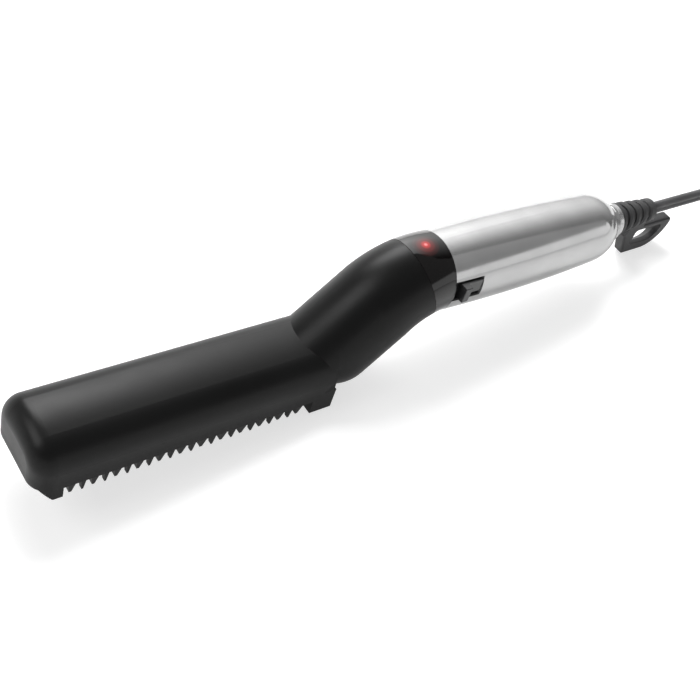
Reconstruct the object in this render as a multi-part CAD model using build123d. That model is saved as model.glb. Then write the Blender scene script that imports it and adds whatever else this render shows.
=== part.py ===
# Beard straightening brush: a heated comb head on a bent neck, a bright round handle with a slide
# switch, and a mains cord that leaves through a swivelling strain relief with a hanging loop.
# All lengths are in millimetres.
# The pieces are drawn in the tool's own frame: X runs from the tip of the head to the cord, Y is
# the width with the switch on the -Y side, and Z points out of the back of the head, so the comb
# teeth point to -Z. At the end every piece is tipped about Y onto its two natural contacts, the
# heel of the comb and the hanging loop, as the brush lies on a table.

import os
from math import asin, atan, atan2, cos, degrees, hypot, pi, radians, sin, tan

from build123d import *

# Head shell: a domed paddle with a side wall that drops straight to its lower edge
head_half_width = 16.0
head_length = 109.7
head_edge_z = 3.3
head_crown_z = 17.7
head_side_wall = 3.5
head_shoulder_r = 10.3
head_tip_r = 7.0
shell_wall = 2.0
gap = 0.15

# Neck: a round bar that rises from the heel of the head and bends level with the handle
neck_r = 16.2
neck_rise = 44.0
neck_foot_x = head_length + 7.4
neck_foot_z = 11.0
neck_bend_r = 30.0
neck_part_drop = 6.0
neck_part_fillet = 3.0
neck_cover_post_wall = 0.6
neck_foot_step = 0.02
axis_z = 34.0

# Ring between neck and handle: its front seam leans, its rear seam is square
ring_land = 0.76
ring_width = 8.5
ring_lean = 0.4

# Comb frame: a guard under the shell with a nose block, a heel block and two rows of teeth
frame_wall = 3.6
frame_lip_height = 2.4
ledge_width = 1.4
nose_start_x = 2.0
nose_end_x = 9.2
nose_depth = 4.9
nose_rake = 4.2
heel_length = 9.2
heel_overhang = 1.2
heel_depth = 6.5
block_edge_r = 0.6
first_tooth_x = 12.4
tooth_pitch = 7.7
tooth_end_room = 3.8
tooth_depth = 6.0
wide_tooth_root = 2.9
wide_tooth_tip = 0.9
wide_tooth_reach = 4.2
narrow_tooth_root = 1.8
narrow_tooth_tip = 0.6
narrow_tooth_reach = 2.8
tooth_row_y = 15.3

# Heater: an aluminium plate with cross fins in the mouth of the frame, and what heats it
plate_thickness = 2.0
plate_sink = 0.5
fin_root = 1.4
fin_tip = 0.8
fin_depth = 4.6
fin_half_width = 9.0
heater_end_room = 12.25
ptc_width = 14.0
ptc_thickness = 2.4
ptc_spacing = 4.0
film_thickness = 0.4
film_overhang = 2.0
clamp_thickness = 0.8
clamp_foot = 2.2
fuse_r = 2.0
fuse_length = 11.0
fuse_start_x = 50.0
shield_start_x = 14.0
shield_end_room = 3.7
shield_half_width = 11.8
shield_thickness = 1.0
shield_clearance = 0.3
lead_wire_r = 0.9
lead_bend_r = 8.0
lead_inner_y = 1.2
lead_outer_y = 4.8
lead_turn_room = 2.7
lead_stagger_x = 2.0

# Handle barrel: a bright tube of round section with a domed end
handle_r = 15.0
handle_swell = 0.6
handle_swell_reach = 29.2
handle_dome = 14.0
handle_taper = 0.7
handle_wall = 1.7
handle_length = 95.2
handle_mouth_r = 8.2
handle_mouth_length = 2.4

# Collar at the end of the barrel: a bush that carries the swivel, with two bright beads
collar_bush_length = 8.0
collar_bead_r = 8.9
collar_bead_width = 2.2
collar_groove_r = 6.6
collar_groove_width = 0.6
collar_rim_r = 7.4
collar_edge = 0.5
collar_rim_width = 2.8

# Swivelling strain relief with its hanging loop
relief_shaft_r = 4.2
relief_shaft_spare = 1.5
swivel_clearance = 0.3
relief_start_gap = 0.4
relief_core_r = 5.3
relief_end_core_r = 4.0
relief_rib_r = 6.8
relief_end_rib_r = 5.0
relief_rib_count = 5
relief_rib_pitch = 5.0
relief_rib_width = 2.7
relief_rib_edge = 0.7
relief_end_rib_width = 4.0
loop_thickness = 5.2
loop_edge_r = 0.9
loop_tip_r = 1.4
loop_front_reach = 18.4
loop_rake = 5.2
loop_front_top_z = 22.8
loop_top_z = 26.8
loop_bottom_z = 12.0
loop_tail_reach = 30.0
loop_tail_r = 13.0
loop_bar = 4.4
loop_top_bar = 2.0
loop_front_bar = 1.6
loop_tail_bar = 5.7
loop_hole_tail_r = 6.6
loop_hole_corner_r = 1.8
loop_hole_slope = 0.9
loop_rear_lean = 1.5
clip_r = 6.4
clip_thickness = 1.6
clip_groove_depth = 0.5
clip_slot = 2.6
pin_r = 1.8
pin_inset = 2.0
pin_length = 22.0
pin_bore_gap = 0.5
swivel_block_inset = 4.5
swivel_block_length = 13.5
swivel_block_rise = 6.0
contact_thickness = 0.5
contact_width = 2.0
contact_height = 13.0
contact_inset = 4.0
contact_spacing = 5.0

# Slide switch on the near side of the barrel, in a notch that starts at the ring
window_length = 13.2
window_half_height = 4.1
window_z = 36.2
switch_travel = 1.6
bezel_wall = 0.4
bezel_inset = 0.25
bezel_floor_depth = 3.6
bezel_floor_thickness = 1.0
knob_base_depth = 1.4
knob_thickness = 1.6
knob_nub_rise = 2.4
knob_nub_length = 2.9
knob_pad_height = 5.2
knob_edge_r = 0.3
stem_length = 2.4
stem_height = 4.0
stem_end_depth = 5.4
switch_gap = 0.3
switch_body_y = -6.4
switch_body_width = 5.2
switch_body_length = 9.0
switch_body_height = 9.6
lever_length = 1.6
lever_height = 2.2
lever_depth = 1.2

# Chassis and electronics inside the handle
chassis_gap = 0.25
chassis_wall = 1.5
chassis_lap = 1.8
sleeve_overlap = 4.8
sleeve_reach = 4.2
board_gap = 0.5
board_end_room = 2.0
board_edge_room = 5.0
board_thickness = 1.6
board_drop = 6.5
terminal_length = 6.0
terminal_width = 8.0
terminal_y = 3.0
main_lead_spacing = 4.0
terminal_height = 5.0
terminal_inset = 2.0
capacitor_place = (21.5, 2.0)
capacitor_size = (12.0, 5.5, 10.0)
driver_place = (23.5, -7.0)
driver_size = (10.0, 5.0, 3.5)
triac_place = (38.5, 3.5)
triac_size = (9.0, 2.0, 9.0)
drum_place = (40.5, -3.0)
drum_r = 3.2
drum_height = 9.0
led_r = 1.5
led_setback = 7.4
led_height = 4.0
led_dome_r = 0.9
led_flange_r = 2.1
led_flange_thickness = 0.8

# Screws
screw_shank_r = 1.2
screw_head_r = 2.3
screw_head_height = 1.7
screw_head_edge_r = 0.5
screw_gap = 0.2
thread_gap = 0.05
boss_r = 2.7
heel_screw_y = 10.4
heel_screw_seat_z = -1.0
comb_screw_length = 8.5
neck_screw_y = 9.2
neck_screw_s = 9.0
neck_screw_seat = 9.2
neck_screw_length = 10.0
screw_hole_spare = 2.0

# Mains cord, its plug and the length that is put away in a hank
cord_d = 6.0
cord_run = 32.0
cord_corner_share = 0.45
hank_half_run = 42.0
hank_outer = 24.6
hank_inner = 18.0
hank_outer_waist = 19.4
hank_inner_waist = 12.0
hank_layer = 6.6
hank_layers = 3
hank_samples = 16
hank_near_length = 18.0
hank_place = (272.5, -10.5)
tie_width = 10.0
tie_thickness = 1.0
tie_gap = 0.25
tie_corner_r = 3.0
plug_lead_shares = ((0, 0), (0.2, 0), (0.39, 0.22), (0.61, 0.78), (0.8, 1), (1, 1))
plug_width = 36.0
plug_length = 48.0
plug_thickness = 13.7
plug_nose_length = 15.0
plug_nose_width = 11.0
plug_shoulder_length = 11.0
plug_corner_r = 2.5
plug_edge_r = 2.0
plug_pin_r = 2.0
plug_pin_length = 19.0
plug_pin_spacing = 18.6
plug_pin_root = 4.0
plug_pin_root_r = 1.6
plug_pin_neck = 0.3
plug_pin_tip_r = 0.9
plug_place = (15.0, 5.0)
plug_rest_gap = 0.3
plug_nose_flare = 1.0

# Values that follow from the driving dimensions
rise = radians(neck_rise)
along = Vector(cos(rise), 0, sin(rise))
outward = Vector(-sin(rise), 0, cos(rise))
neck_foot = Vector(neck_foot_x, 0, neck_foot_z)
neck_knee_x = neck_foot_x + (axis_z - neck_foot_z) / tan(rise)
bend_reach = neck_bend_r * tan(rise / 2)
bend_start = Vector(neck_knee_x, 0, axis_z) - along * bend_reach
bend_end_x = neck_knee_x + bend_reach
bend_centre = Vector(bend_end_x, 0, axis_z - neck_bend_r)
ring_rear_x = bend_end_x + ring_land
ring_front_x = ring_rear_x - ring_width
inner_r = handle_r - shell_wall
heel_end_x = head_length + heel_overhang
heel_start_x = heel_end_x - heel_length
wide_tooth_count = int((heel_start_x - first_tooth_x - tooth_end_room) / tooth_pitch) + 1
ptc_length = (heel_start_x - nose_end_x) / 2 - heater_end_room
shield_end_x = heel_start_x - shield_end_room
lead_turn_x = heel_start_x - lead_turn_room
plate_top_z = plate_sink + plate_thickness
mouth_half = head_half_width - frame_wall
ledge_half = mouth_half - ledge_width
heater_middle_x = (nose_end_x + heel_start_x) / 2
heater_half = ptc_length + ptc_spacing / 2
ptc_z = plate_top_z + film_thickness
clamp_z = ptc_z + ptc_thickness + film_thickness
clamp_top_z = clamp_z + clamp_thickness
fuse_z = clamp_top_z + fuse_r
shield_z = fuse_z + fuse_r + shield_clearance
heel_screw_x = (heel_start_x + heel_end_x) / 2
handle_slim_r = handle_r - handle_taper
handle_swell_x = ring_rear_x + handle_swell_reach
handle_end_x = ring_rear_x + handle_length
handle_slim_x = handle_end_x - handle_dome
chassis_start_x = ring_rear_x - chassis_lap
chassis_end_x = handle_slim_x
sleeve_end_x = ring_rear_x + sleeve_reach
collar_bush_start_x = handle_end_x - collar_bush_length
collar_end_x = handle_end_x + collar_bead_width + collar_groove_width + collar_rim_width
relief_start_x = collar_end_x + relief_start_gap
relief_end_x = relief_start_x + (relief_rib_count - 1) * relief_rib_pitch + relief_end_rib_width
loop_front_x = relief_start_x + loop_front_reach
loop_tail_x = relief_start_x + loop_tail_reach
pin_end_x = handle_end_x - pin_inset
pin_start_x = pin_end_x - pin_length
swivel_block_end_x = collar_bush_start_x - swivel_block_inset
swivel_block_start_x = swivel_block_end_x - swivel_block_length
contact_first_x = swivel_block_start_x + contact_inset
board_z = axis_z - board_drop
board_top_z = board_z + board_thickness
board_start_x = sleeve_end_x + board_gap
board_end_x = swivel_block_start_x - board_end_room
board_width = 2 * (handle_r - board_edge_room)
led_x = ring_rear_x - led_setback
terminal_z = board_top_z + terminal_height / 2
chassis_r = handle_slim_r - handle_wall - chassis_gap
chassis_inner_r = chassis_r - chassis_wall
bore_r = relief_shaft_r + swivel_clearance
barrel_start_x = ring_rear_x + gap
window_end_x = barrel_start_x + window_length
bezel_start_x = barrel_start_x + gap
bezel_end_x = window_end_x - gap
bezel_half = window_half_height - gap
pocket_start_x = bezel_start_x + bezel_wall
pocket_end_x = bezel_end_x - bezel_wall
pocket_half = bezel_half - bezel_wall
knob_end_x = pocket_end_x - switch_gap
knob_start_x = pocket_start_x + switch_gap + switch_travel
knob_half = pocket_half - switch_gap
bezel_floor_y = bezel_floor_depth - handle_r
knob_base_y = knob_base_depth - handle_r
knob_nub_y = -handle_r - knob_nub_rise
knob_pad_y = -handle_r
stem_end_y = stem_end_depth - handle_r
knob_back_y = knob_base_y + knob_thickness
stem_x = (knob_start_x + knob_end_x) / 2
stem_reach_x = stem_length / 2 + switch_gap
lever_reach_x = lever_length / 2 + switch_gap
lever_end_y = switch_body_y + lever_depth
switch_body_x = stem_x - switch_travel / 2
cord_r = cord_d / 2


def xz_face(outline):
    """Face in the XZ plane from edges drawn as (x, z)."""
    return make_face(Plane.XZ * outline)


def slab(outline, half_width):
    """Prism across Y from edges drawn as (x, z)."""
    return extrude(xz_face(outline), amount=half_width, both=True)


def turned(outline):
    """Body of revolution about the handle's axis, from edges drawn as (x, radius)."""
    level = Plane(origin=(0, 0, axis_z), x_dir=(1, 0, 0), z_dir=(0, -1, 0))
    return revolve(level * make_face(outline), Axis((0, 0, axis_z), (1, 0, 0)))


def block(x0, x1, y0, y1, z0, z1):
    """Box from its lowest to its highest corner."""
    size = (x1 - x0, y1 - y0, z1 - z0)
    centre = ((x0 + x1) / 2, (y0 + y1) / 2, (z0 + z1) / 2)
    return Pos(*centre) * Box(*size)


def tip_block(x0, x1, half, corner_r, z0, z1):
    """Box about the middle plane whose two front corners are rounded in plan."""
    body = block(x0, x1, -half, half, z0, z1)
    corners = body.edges().filter_by(Axis.Z).group_by(Axis.X)[0]
    return fillet(corners, corner_r)


def rod(start, end, r):
    """Round bar between two points."""
    run = Vector(*end) - Vector(*start)
    return extrude(Plane(origin=start, z_dir=run) * Circle(r), amount=run.length)


def axis_rod(x0, x1, r):
    """Round bar on the handle's axis."""
    return rod((x0, 0, axis_z), (x1, 0, axis_z), r)


def head_form(inset, floor_z, start_x, end_x):
    """Domed paddle, drawn smaller all round by inset, with a rounded tip."""
    half = head_half_width - inset
    crown = head_crown_z - inset
    shoulder = head_shoulder_r - inset
    wall_top = head_edge_z + head_side_wall
    cy = half - shoulder
    drop = wall_top - crown
    crown_r = (shoulder**2 - cy**2 - drop**2) / (2 * (drop + shoulder))
    lean = atan2(cy, drop + crown_r)
    half_lean = (lean + pi / 2) / 2
    meet = (cy + shoulder * sin(lean), wall_top + shoulder * cos(lean))
    middle = (cy + shoulder * sin(half_lean), wall_top + shoulder * cos(half_lean))
    side = Line((half, floor_z), (half, wall_top))
    round_side = ThreePointArc((half, wall_top), middle, meet)
    crown_arc = ThreePointArc(meet, (0, crown), (-meet[0], meet[1]))
    other_round = ThreePointArc((-meet[0], meet[1]), (-middle[0], middle[1]), (-half, wall_top))
    other_side = Line((-half, wall_top), (-half, floor_z))
    base = Line((-half, floor_z), (half, floor_z))
    face = make_face(Plane.YZ * (side + round_side + crown_arc + other_round + other_side + base))
    body = extrude(Pos(start_x, 0, 0) * face, amount=end_x - start_x)
    front = body.edges().group_by(Axis.X)[0]
    return fillet(front.sort_by(Axis.Z)[1:], head_tip_r - inset)


def bend_form(r_start, r_end, end_x):
    """Round bar through the bend, level at its end."""
    rings = []
    steps = 4
    for step in range(steps + 1):
        share = step / steps
        turn = rise * (1 - share)
        centre = bend_centre + Vector(-sin(turn), 0, cos(turn)) * neck_bend_r
        plane = Plane(origin=centre, x_dir=(0, 1, 0), z_dir=(cos(turn), 0, sin(turn)))
        rings.append(plane * Circle(r_start + (r_end - r_start) * share))
    return loft(rings) + axis_rod(bend_end_x, end_x, r_end)


def neck_form(r, r_end, end_x):
    """Whole neck with the ring zone: sloping bar, round foot and bend."""
    low_end = neck_foot - along * 3 * neck_r
    bar = rod(low_end, bend_start, r)
    low_half = Pos(0, 0, 2 * neck_r) * Box(6 * neck_r, 6 * neck_r, 4 * neck_r)
    below = Plane(origin=neck_foot, z_dir=-along) * low_half
    front = block(0, head_length, -2 * neck_r, 2 * neck_r, head_edge_z, 4 * neck_r)
    foot = Pos(neck_foot) * Sphere(r - neck_foot_step)
    return (bar - (below - front)) + foot + bend_form(r, r_end, end_x)


def ring_cut(offset):
    """Everything behind the leaning seam, moved along X by offset."""
    low_z = axis_z - 3 * handle_r
    high_z = axis_z + 3 * handle_r
    low_x = ring_front_x + offset - ring_lean * (low_z - axis_z)
    high_x = ring_front_x + offset - ring_lean * (high_z - axis_z)
    far_x = ring_rear_x + handle_end_x
    outline = Polyline((low_x, low_z), (far_x, low_z), (far_x, high_z), (high_x, high_z), close=True)
    return slab(outline, 3 * handle_r)


def below_parting(offset):
    """Everything under the parting line of the neck, which runs beside its centre line."""
    side = neck_foot - outward * (neck_part_drop + offset)
    start_x = side.X - (side.Z - head_edge_z) / tan(rise)
    top_z = axis_z - neck_part_drop - offset
    knee_x = side.X + (top_z - side.Z) / tan(rise)
    front_x = start_x - neck_r
    rear_x = ring_rear_x + neck_r
    deep_z = -2 * neck_r
    line = FilletPolyline(
        (front_x, head_edge_z),
        (start_x, head_edge_z),
        (knee_x, top_z),
        (rear_x, top_z),
        radius=[neck_part_fillet, neck_bend_r + neck_part_drop],
    )
    under = Polyline((rear_x, top_z), (rear_x, deep_z), (front_x, deep_z), (front_x, head_edge_z))
    return slab(line + under, 3 * neck_r)


def screw(seat, direction, length):
    """Pan-head screw: its head lies under the seat point and its shank runs along direction."""
    shank = rod(seat, seat + direction * length, screw_shank_r)
    head = rod(seat - direction * screw_head_height, seat, screw_head_r)
    return shank + fillet(head.edges().group_by(Axis(seat, direction))[0], screw_head_edge_r)


parts = {}

# The neck, the dome and their hollows are shared by several pieces
neck_outer = neck_form(neck_r, handle_r, ring_rear_x)
neck_inner = neck_form(neck_r - shell_wall, inner_r, ring_rear_x)
head_outer = head_form(0, head_edge_z, 0, head_length)
head_inner = head_form(shell_wall, head_edge_z - shell_wall, shell_wall, head_length - shell_wall)
behind_ring_seam = ring_cut(0)
neck_below = below_parting(0)
heel_space = block(0, heel_end_x + gap, -neck_r, neck_r, -2 * neck_r, head_edge_z)

# Places of the screws: two rise through the heel block, two hold the neck cover
up = Vector(0, 0, 1)
heel_seats = [Vector(heel_screw_x, y, heel_screw_seat_z) for y in (-heel_screw_y, heel_screw_y)]
neck_seats = []
for y in (-neck_screw_y, neck_screw_y):
    neck_seats.append(neck_foot + along * neck_screw_s - outward * neck_screw_seat + Vector(0, y, 0))

# Head shell: dome and upper neck in one moulding, with a boss for each screw
shell = (head_outer + neck_outer) - behind_ring_seam - neck_below - heel_space
shell = shell - head_inner - neck_inner
for seat in heel_seats:
    foot = seat + up * (head_edge_z + gap - heel_screw_seat_z)
    boss = rod(foot, foot + up * (head_crown_z - head_edge_z), boss_r)
    shell = shell + ((boss & head_outer) + (boss & neck_outer))
    hole_end = seat + up * (comb_screw_length + screw_hole_spare)
    shell = shell - rod(foot - up, hole_end, screw_shank_r + thread_gap)
for seat in neck_seats:
    foot = seat + outward * (neck_screw_seat - neck_part_drop + gap)
    boss = rod(foot, foot + outward * 2 * neck_r, boss_r)
    shell = shell + (boss & neck_outer)
    hole_end = seat + outward * (neck_screw_length + screw_hole_spare)
    shell = shell - rod(foot - outward, hole_end, screw_shank_r + thread_gap)
parts["head_shell"] = shell

# Neck cover: the lower half of the neck, which closes the wiring space
cover = (neck_outer & below_parting(gap)) - behind_ring_seam - neck_inner - heel_space
for seat in neck_seats:
    post_end = seat + outward * (neck_screw_seat - neck_part_drop - gap)
    post = rod(seat - outward * neck_r, post_end, boss_r + neck_cover_post_wall)
    cover = cover + (post & neck_outer)
    cover = cover - rod(seat - outward * neck_r, seat + outward * neck_r, screw_shank_r + screw_gap)
    cover = cover - rod(seat - outward * neck_r, seat, screw_head_r + screw_gap)
parts["neck_cover"] = cover

# Comb frame: a guard flush with the shell and a lip inside it, a nose, a heel and the teeth
rim = tip_block(0, heel_end_x, head_half_width, head_tip_r, 0, head_edge_z)
lip_start_x = shell_wall + gap
lip_half = head_half_width - shell_wall - gap
lip_corner_r = head_tip_r - shell_wall - gap
lip_wall = frame_wall - shell_wall - gap
lip_top_z = head_edge_z + frame_lip_height
lip_space_x = lip_start_x + lip_wall
lip = tip_block(lip_start_x, heel_start_x, lip_half, lip_corner_r, head_edge_z, lip_top_z)
lip_space = block(lip_space_x, heel_start_x, -mouth_half, mouth_half, head_edge_z, lip_top_z)
nose = slab(
    Polyline(
        (nose_start_x, 0),
        (nose_start_x + nose_rake, -nose_depth),
        (nose_end_x, -nose_depth),
        (nose_end_x, 0),
        close=True,
    ),
    head_half_width,
)
nose = nose & tip_block(0, heel_end_x, head_half_width, head_tip_r, -nose_depth, 0)
nose = fillet(nose.edges().group_by(Axis.Z)[0], block_edge_r)
heel = block(heel_start_x, heel_end_x, -head_half_width, head_half_width, -heel_depth, head_edge_z / 2)
heel = fillet(heel.edges().group_by(Axis.Z)[0], block_edge_r)
mouth = block(nose_end_x, heel_start_x, -mouth_half, mouth_half, plate_sink, head_edge_z)
mouth = mouth + block(nose_end_x, heel_start_x, -ledge_half, ledge_half, 0, plate_sink)
frame = rim + (lip - lip_space) + nose + heel - mouth
teeth = []
for i in range(2 * wide_tooth_count - 1):
    wide = i % 2 == 0
    root = wide_tooth_root if wide else narrow_tooth_root
    tip = wide_tooth_tip if wide else narrow_tooth_tip
    reach = wide_tooth_reach if wide else narrow_tooth_reach
    taper = degrees(atan((root - tip) / 2 / tooth_depth))
    for side in (-1, 1):
        place = (first_tooth_x + i * tooth_pitch / 2, side * (tooth_row_y - reach / 2), 0)
        base = Plane(origin=place, x_dir=(1, 0, 0), z_dir=(0, 0, -1)) * Rectangle(root, reach)
        teeth.append(extrude(base, amount=tooth_depth, taper=taper))
frame = frame + teeth
for seat in heel_seats:
    frame = frame - rod(seat - up * heel_depth, seat, screw_head_r + screw_gap)
    frame = frame - rod(seat, seat + up * heel_depth, screw_shank_r + screw_gap)
parts["comb_frame"] = frame

# Heater plate: rests on the ledge of the frame, with a cross fin beside each pair of teeth
plate_start_x = nose_end_x + gap
plate_end_x = heel_start_x - gap
plate = block(plate_start_x, plate_end_x, gap - mouth_half, mouth_half - gap, plate_sink, plate_top_z)
plate = plate + block(plate_start_x, plate_end_x, gap - ledge_half, ledge_half - gap, 0, plate_sink)
fins = []
for i in range(2 * wide_tooth_count - 1):
    fin_x = first_tooth_x + i * tooth_pitch / 2
    down = Plane(origin=(fin_x, 0, 0), x_dir=(1, 0, 0), z_dir=(0, 0, -1))
    base = down * Rectangle(fin_root, 2 * fin_half_width)
    fin_taper = degrees(atan((fin_root - fin_tip) / 2 / fin_depth))
    fins.append(extrude(base, amount=fin_depth, taper=fin_taper))
plate = plate + fins
parts["heater_plate"] = plate

# Two heating stones in an insulating sleeve, pressed on the plate by a clamp of sheet metal
stones = []
for side in (-1, 1):
    stone_x = heater_middle_x + side * (ptc_length + ptc_spacing) / 2
    stones.append(Pos(stone_x, 0, ptc_z + ptc_thickness / 2) * Box(ptc_length, ptc_width, ptc_thickness))
parts["ptc_heaters"] = Compound(children=stones)
sleeve_half = heater_half + film_overhang
sleeve_y = ptc_width / 2 + film_thickness
sleeve_x0 = heater_middle_x - sleeve_half
sleeve_x1 = heater_middle_x + sleeve_half
film = block(sleeve_x0, sleeve_x1, -sleeve_y, sleeve_y, plate_top_z, clamp_z)
film = film - block(sleeve_x0, sleeve_x1, -ptc_width / 2, ptc_width / 2, ptc_z, ptc_z + ptc_thickness)
parts["insulating_film"] = film
clamp_x0 = heater_middle_x - heater_half
clamp_x1 = heater_middle_x + heater_half
leg_y = sleeve_y + gap
foot_y = leg_y + clamp_thickness + clamp_foot
clamp_section = Polyline(
    (leg_y, plate_top_z),
    (foot_y, plate_top_z),
    (foot_y, plate_top_z + clamp_thickness),
    (leg_y + clamp_thickness, plate_top_z + clamp_thickness),
    (leg_y + clamp_thickness, clamp_top_z),
    (0, clamp_top_z),
    (0, clamp_z),
    (leg_y, clamp_z),
    close=True,
)
half_clamp = extrude(Pos(clamp_x0, 0, 0) * make_face(Plane.YZ * clamp_section), amount=clamp_x1 - clamp_x0)
parts["heater_clamp"] = half_clamp + mirror(half_clamp, Plane.XZ)

# Thermal fuse on the clamp, under a heat shield that stands on the plate
fuse_end_x = fuse_start_x + fuse_length
fuse_start = (fuse_start_x, lead_inner_y, fuse_z)
fuse_end = (fuse_end_x, lead_inner_y, fuse_z)
parts["thermal_fuse"] = rod(fuse_start, fuse_end, fuse_r)
shield_top_z = shield_z + shield_thickness
shield_inner = shield_half_width - shield_thickness
shield = block(shield_start_x, shield_end_x, -shield_half_width, shield_half_width, plate_top_z, shield_top_z)
shield = shield - block(shield_start_x, shield_end_x, -shield_inner, shield_inner, plate_top_z, shield_z)
parts["heat_shield"] = shield

# Screws: two through the heel block into the shell, two through the neck cover
parts["comb_screws"] = Compound(children=[screw(seat, up, comb_screw_length) for seat in heel_seats])
parts["neck_screws"] = Compound(children=[screw(seat, outward, neck_screw_length) for seat in neck_seats])

# Light ring: a smoked band that carries the skin of the neck on to the handle
ring = (neck_outer & ring_cut(gap)) - neck_inner
parts["light_ring"] = ring

# Inner chassis: a sleeve inside the joint of neck and handle, with a trough for the electronics
sleeve_front_r = neck_r - shell_wall - chassis_gap
sleeve_rear_r = inner_r - chassis_gap
sleeve = bend_form(sleeve_front_r, sleeve_rear_r, sleeve_end_x)
sleeve = sleeve - bend_form(sleeve_front_r - chassis_wall, sleeve_rear_r - chassis_wall, sleeve_end_x)
sleeve = sleeve & ring_cut(-sleeve_overlap)
trough = axis_rod(chassis_start_x, chassis_end_x, chassis_r)
trough = trough - axis_rod(chassis_start_x, chassis_end_x, chassis_inner_r)
trough = trough & block(chassis_start_x, chassis_end_x, -handle_r, handle_r, axis_z - handle_r, board_z)
led_turn = asin((bend_end_x - led_x) / (neck_bend_r + handle_r))
led_axis = Vector(-sin(led_turn), 0, cos(led_turn))
led_top = bend_centre + led_axis * (neck_bend_r + inner_r - chassis_gap)
led_hole = rod(led_top - led_axis * 2 * led_height, led_top + led_axis, led_r + gap)
bezel_room = block(
    bezel_start_x - gap,
    sleeve_end_x + gap,
    -handle_r,
    bezel_floor_y + bezel_floor_thickness + gap,
    window_z - bezel_half - gap,
    window_z + bezel_half + gap,
)
parts["inner_chassis"] = (sleeve - bezel_room) + trough - led_hole

# Status light: stands in the sleeve with its dome just under the smoked ring
led_seat = led_top - led_axis * (chassis_wall + led_flange_thickness + gap)
led_base = led_top - led_axis * led_height
lens = rod(led_base, led_top, led_r)
lens = fillet(lens.edges().group_by(Axis(led_base, led_axis))[-1], led_dome_r)
parts["status_led"] = lens + rod(led_seat, led_seat + led_axis * led_flange_thickness, led_flange_r)

# Circuit board with its parts
board_half = board_width / 2
parts["circuit_board"] = block(board_start_x, board_end_x, -board_half, board_half, board_z, board_top_z)
front_terminal_x = board_start_x + terminal_inset
rear_terminal_x = board_end_x - terminal_inset
terminal_top_z = board_top_z + terminal_height
board_parts = []
for x0 in (front_terminal_x, rear_terminal_x - terminal_length):
    y0 = terminal_y - terminal_width / 2
    board_parts.append(block(x0, x0 + terminal_length, y0, y0 + terminal_width, board_top_z, terminal_top_z))
casings = (
    (capacitor_place, capacitor_size),
    (driver_place, driver_size),
    (triac_place, triac_size),
)
for corner, (length, width, height) in casings:
    x0, y0 = board_start_x + corner[0], corner[1]
    board_parts.append(block(x0, x0 + length, y0, y0 + width, board_top_z, board_top_z + height))
drum_foot = (board_start_x + drum_place[0], drum_place[1])
board_parts.append(rod((*drum_foot, board_top_z), (*drum_foot, board_top_z + drum_height), drum_r))
parts["board_parts"] = Compound(children=board_parts)

# Leads of the heater: one from the stones, one from the fuse, through the neck to the board
leads = []
for start_x, y, z, turn_x in (
    (clamp_x1, lead_outer_y, ptc_z + ptc_thickness / 2, lead_turn_x),
    (fuse_end_x, lead_inner_y, fuse_z, lead_turn_x + lead_stagger_x),
):
    top_x = turn_x + (terminal_z - z) / tan(rise)
    stations = ((start_x, z), (turn_x, z), (top_x, terminal_z), (front_terminal_x, terminal_z))
    route = FilletPolyline(*[(x, y, height) for x, height in stations], radius=lead_bend_r)
    leads.append(sweep(Plane(origin=(start_x, y, z), z_dir=(1, 0, 0)) * Circle(lead_wire_r), path=route))
parts["heater_leads"] = Compound(children=leads)

# Handle barrel: one drawn tube with a slight swell, a domed end and the notch of the switch
outer_curve = ThreePointArc(
    (barrel_start_x, handle_r),
    (handle_swell_x, handle_r + handle_swell),
    (handle_slim_x, handle_slim_r),
)
outer_dome = TangentArc(outer_curve @ 1, (handle_end_x, handle_mouth_r), tangent=outer_curve % 1)
inner_curve = ThreePointArc(
    (barrel_start_x, handle_r - handle_wall),
    (handle_swell_x, handle_r + handle_swell - handle_wall),
    (handle_slim_x, handle_slim_r - handle_wall),
)
mouth_start_x = handle_end_x - handle_mouth_length
inner_dome = TangentArc(inner_curve @ 1, (mouth_start_x, handle_mouth_r), tangent=inner_curve % 1)
mouth_line = Line((handle_end_x, handle_mouth_r), (mouth_start_x, handle_mouth_r))
front_line = Line((barrel_start_x, handle_r - handle_wall), (barrel_start_x, handle_r))
barrel = turned(outer_curve + outer_dome + mouth_line + inner_dome + inner_curve + front_line)
window_low_z = window_z - window_half_height
window_high_z = window_z + window_half_height
window = block(ring_rear_x, window_end_x, -2 * handle_r, 0, window_low_z, window_high_z)
parts["handle_barrel"] = barrel - window

# Tail collar: a bush in the mouth of the barrel, with a rounded bead and a rim outside it
bush_r = handle_mouth_r - gap
bead_end_x = handle_end_x + collar_bead_width
bead_foot_r = collar_bead_r - collar_bead_width / 2
groove_end_x = bead_end_x + collar_groove_width
bead_crest = (handle_end_x + collar_bead_width / 2, collar_bead_r)
bead_arc = ThreePointArc((handle_end_x, bush_r), bead_crest, (bead_end_x, bead_foot_r))
groove = Polyline(
    (bead_end_x, bead_foot_r),
    (bead_end_x, collar_groove_r),
    (groove_end_x, collar_groove_r),
    (groove_end_x, collar_rim_r - collar_edge),
    (groove_end_x + collar_edge, collar_rim_r),
    (collar_end_x - collar_edge, collar_rim_r),
    (collar_end_x, collar_rim_r - collar_edge),
    (collar_end_x, bore_r),
    (collar_bush_start_x, bore_r),
    (collar_bush_start_x, bush_r),
    (handle_end_x, bush_r),
)
parts["tail_collar"] = turned(bead_arc + groove)

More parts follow.
